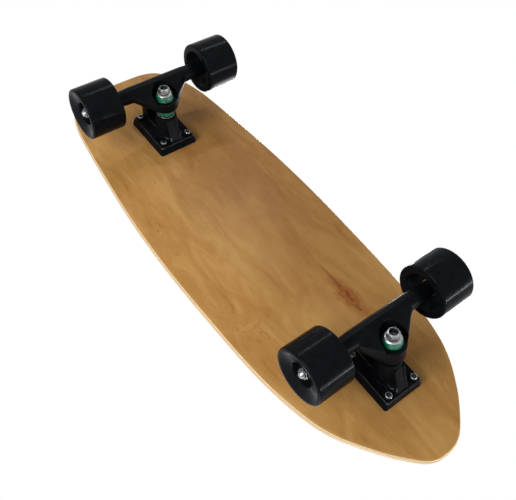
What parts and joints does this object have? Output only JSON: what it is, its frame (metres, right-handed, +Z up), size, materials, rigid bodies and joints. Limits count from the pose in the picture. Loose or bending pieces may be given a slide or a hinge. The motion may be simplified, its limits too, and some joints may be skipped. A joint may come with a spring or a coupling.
{
  "type": "surf skateboard",
  "caption": "Cupped wooden cruiser board with a blunt nose and lifted tail on sprung kingpin trucks and wide smooth wheels; the trucks steer as it leans and the wheels spin.",
  "frame": {"origin": "on the ground under the middle of the board's bounding box, wheels standing at height zero", "axes": "+X runs lengthwise from the tail to the nose, +Y points to the left of a rider who faces the nose, and +Z points up out of the riding side"},
  "size_m": [0.7461, 0.2528, 0.1406],
  "materials": {
    "maple": "clear satin lacquer",
    "grip": "coarse grit",
    "blackPaint": "black satin paint on a casting",
    "zincSteel": "zinc plated",
    "greenUrethane": "translucent urethane",
    "blackUrethane": "smooth glossy urethane",
    "bearingSteel": "ground steel",
    "clearUrethane": "moulded urethane"
  },
  "bodies": {
    "board": {"deck": "maple", "grip_tape": "grip", "front_deck_bolt_1": "zincSteel", "front_deck_nut_1": "zincSteel", "front_deck_bolt_2": "zincSteel", "front_deck_nut_2": "zincSteel", "front_deck_bolt_3": "zincSteel", "front_deck_nut_3": "zincSteel", "front_deck_bolt_4": "zincSteel", "front_deck_nut_4": "zincSteel", "front_baseplate": "blackPaint", "front_kingpin": "zincSteel", "front_bottom_washer": "zincSteel", "front_bottom_bushing": "greenUrethane", "front_top_bushing": "greenUrethane", "front_top_washer": "zincSteel", "front_kingpin_nut": "zincSteel", "rear_deck_bolt_1": "zincSteel", "rear_deck_nut_1": "zincSteel", "rear_deck_bolt_2": "zincSteel", "rear_deck_nut_2": "zincSteel", "rear_deck_bolt_3": "zincSteel", "rear_deck_nut_3": "zincSteel", "rear_deck_bolt_4": "zincSteel", "rear_deck_nut_4": "zincSteel", "rear_baseplate": "blackPaint", "rear_pivot_cup": "clearUrethane", "rear_kingpin": "zincSteel", "rear_bottom_washer": "zincSteel", "rear_bottom_bushing": "greenUrethane", "rear_top_bushing": "greenUrethane", "rear_top_washer": "zincSteel", "rear_kingpin_nut": "zincSteel"},
    "front_truck": {"front_pivot_cup": "clearUrethane", "front_hanger": "blackPaint", "front_axle": "zincSteel", "front_left_bearing_spacer": "zincSteel", "front_left_axle_nut": "zincSteel", "front_right_bearing_spacer": "zincSteel", "front_right_axle_nut": "zincSteel"},
    "front_left_rolling": {"front_left_wheel": "blackUrethane", "front_left_inner_bearing": "bearingSteel", "front_left_outer_bearing": "bearingSteel"},
    "front_right_rolling": {"front_right_wheel": "blackUrethane", "front_right_inner_bearing": "bearingSteel", "front_right_outer_bearing": "bearingSteel"},
    "rear_truck": {"rear_hanger": "blackPaint", "rear_axle": "zincSteel", "rear_left_bearing_spacer": "zincSteel", "rear_left_axle_nut": "zincSteel", "rear_right_bearing_spacer": "zincSteel", "rear_right_axle_nut": "zincSteel"},
    "rear_left_rolling": {"rear_left_wheel": "blackUrethane", "rear_left_inner_bearing": "bearingSteel", "rear_left_outer_bearing": "bearingSteel"},
    "rear_right_rolling": {"rear_right_wheel": "blackUrethane", "rear_right_inner_bearing": "bearingSteel", "rear_right_outer_bearing": "bearingSteel"}
  },
  "joints": [
    {"name": "front_steer", "type": "hinge", "parent": "board", "child": "front_truck", "pos_m": [0.2533, 0, 0.0572], "axis": [0.9511, 0, 0.309], "range_deg": [-15, 15], "stiffness_Nm_per_rad": 35, "deforming": ["front_bottom_bushing", "front_top_bushing"]},
    {"name": "front_left_spin", "type": "hinge", "parent": "front_truck", "child": "front_left_rolling", "pos_m": [0.226, 0.0936, 0.0352], "axis": [0, 1, 0], "continuous": true},
    {"name": "front_right_spin", "type": "hinge", "parent": "front_truck", "child": "front_right_rolling", "pos_m": [0.226, -0.0936, 0.0352], "axis": [0, 1, 0], "continuous": true},
    {"name": "rear_steer", "type": "hinge", "parent": "board", "child": "rear_truck", "pos_m": [-0.2185, 0, 0.0522], "axis": [0.8829, 0, -0.4695], "range_deg": [-15, 15], "stiffness_Nm_per_rad": 35, "deforming": ["rear_bottom_bushing", "rear_top_bushing"]},
    {"name": "rear_left_spin", "type": "hinge", "parent": "rear_truck", "child": "rear_left_rolling", "pos_m": [-0.241, 0.0936, 0.0352], "axis": [0, 1, 0], "continuous": true},
    {"name": "rear_right_spin", "type": "hinge", "parent": "rear_truck", "child": "rear_right_rolling", "pos_m": [-0.241, -0.0936, 0.0352], "axis": [0, 1, 0], "continuous": true}
  ]
}
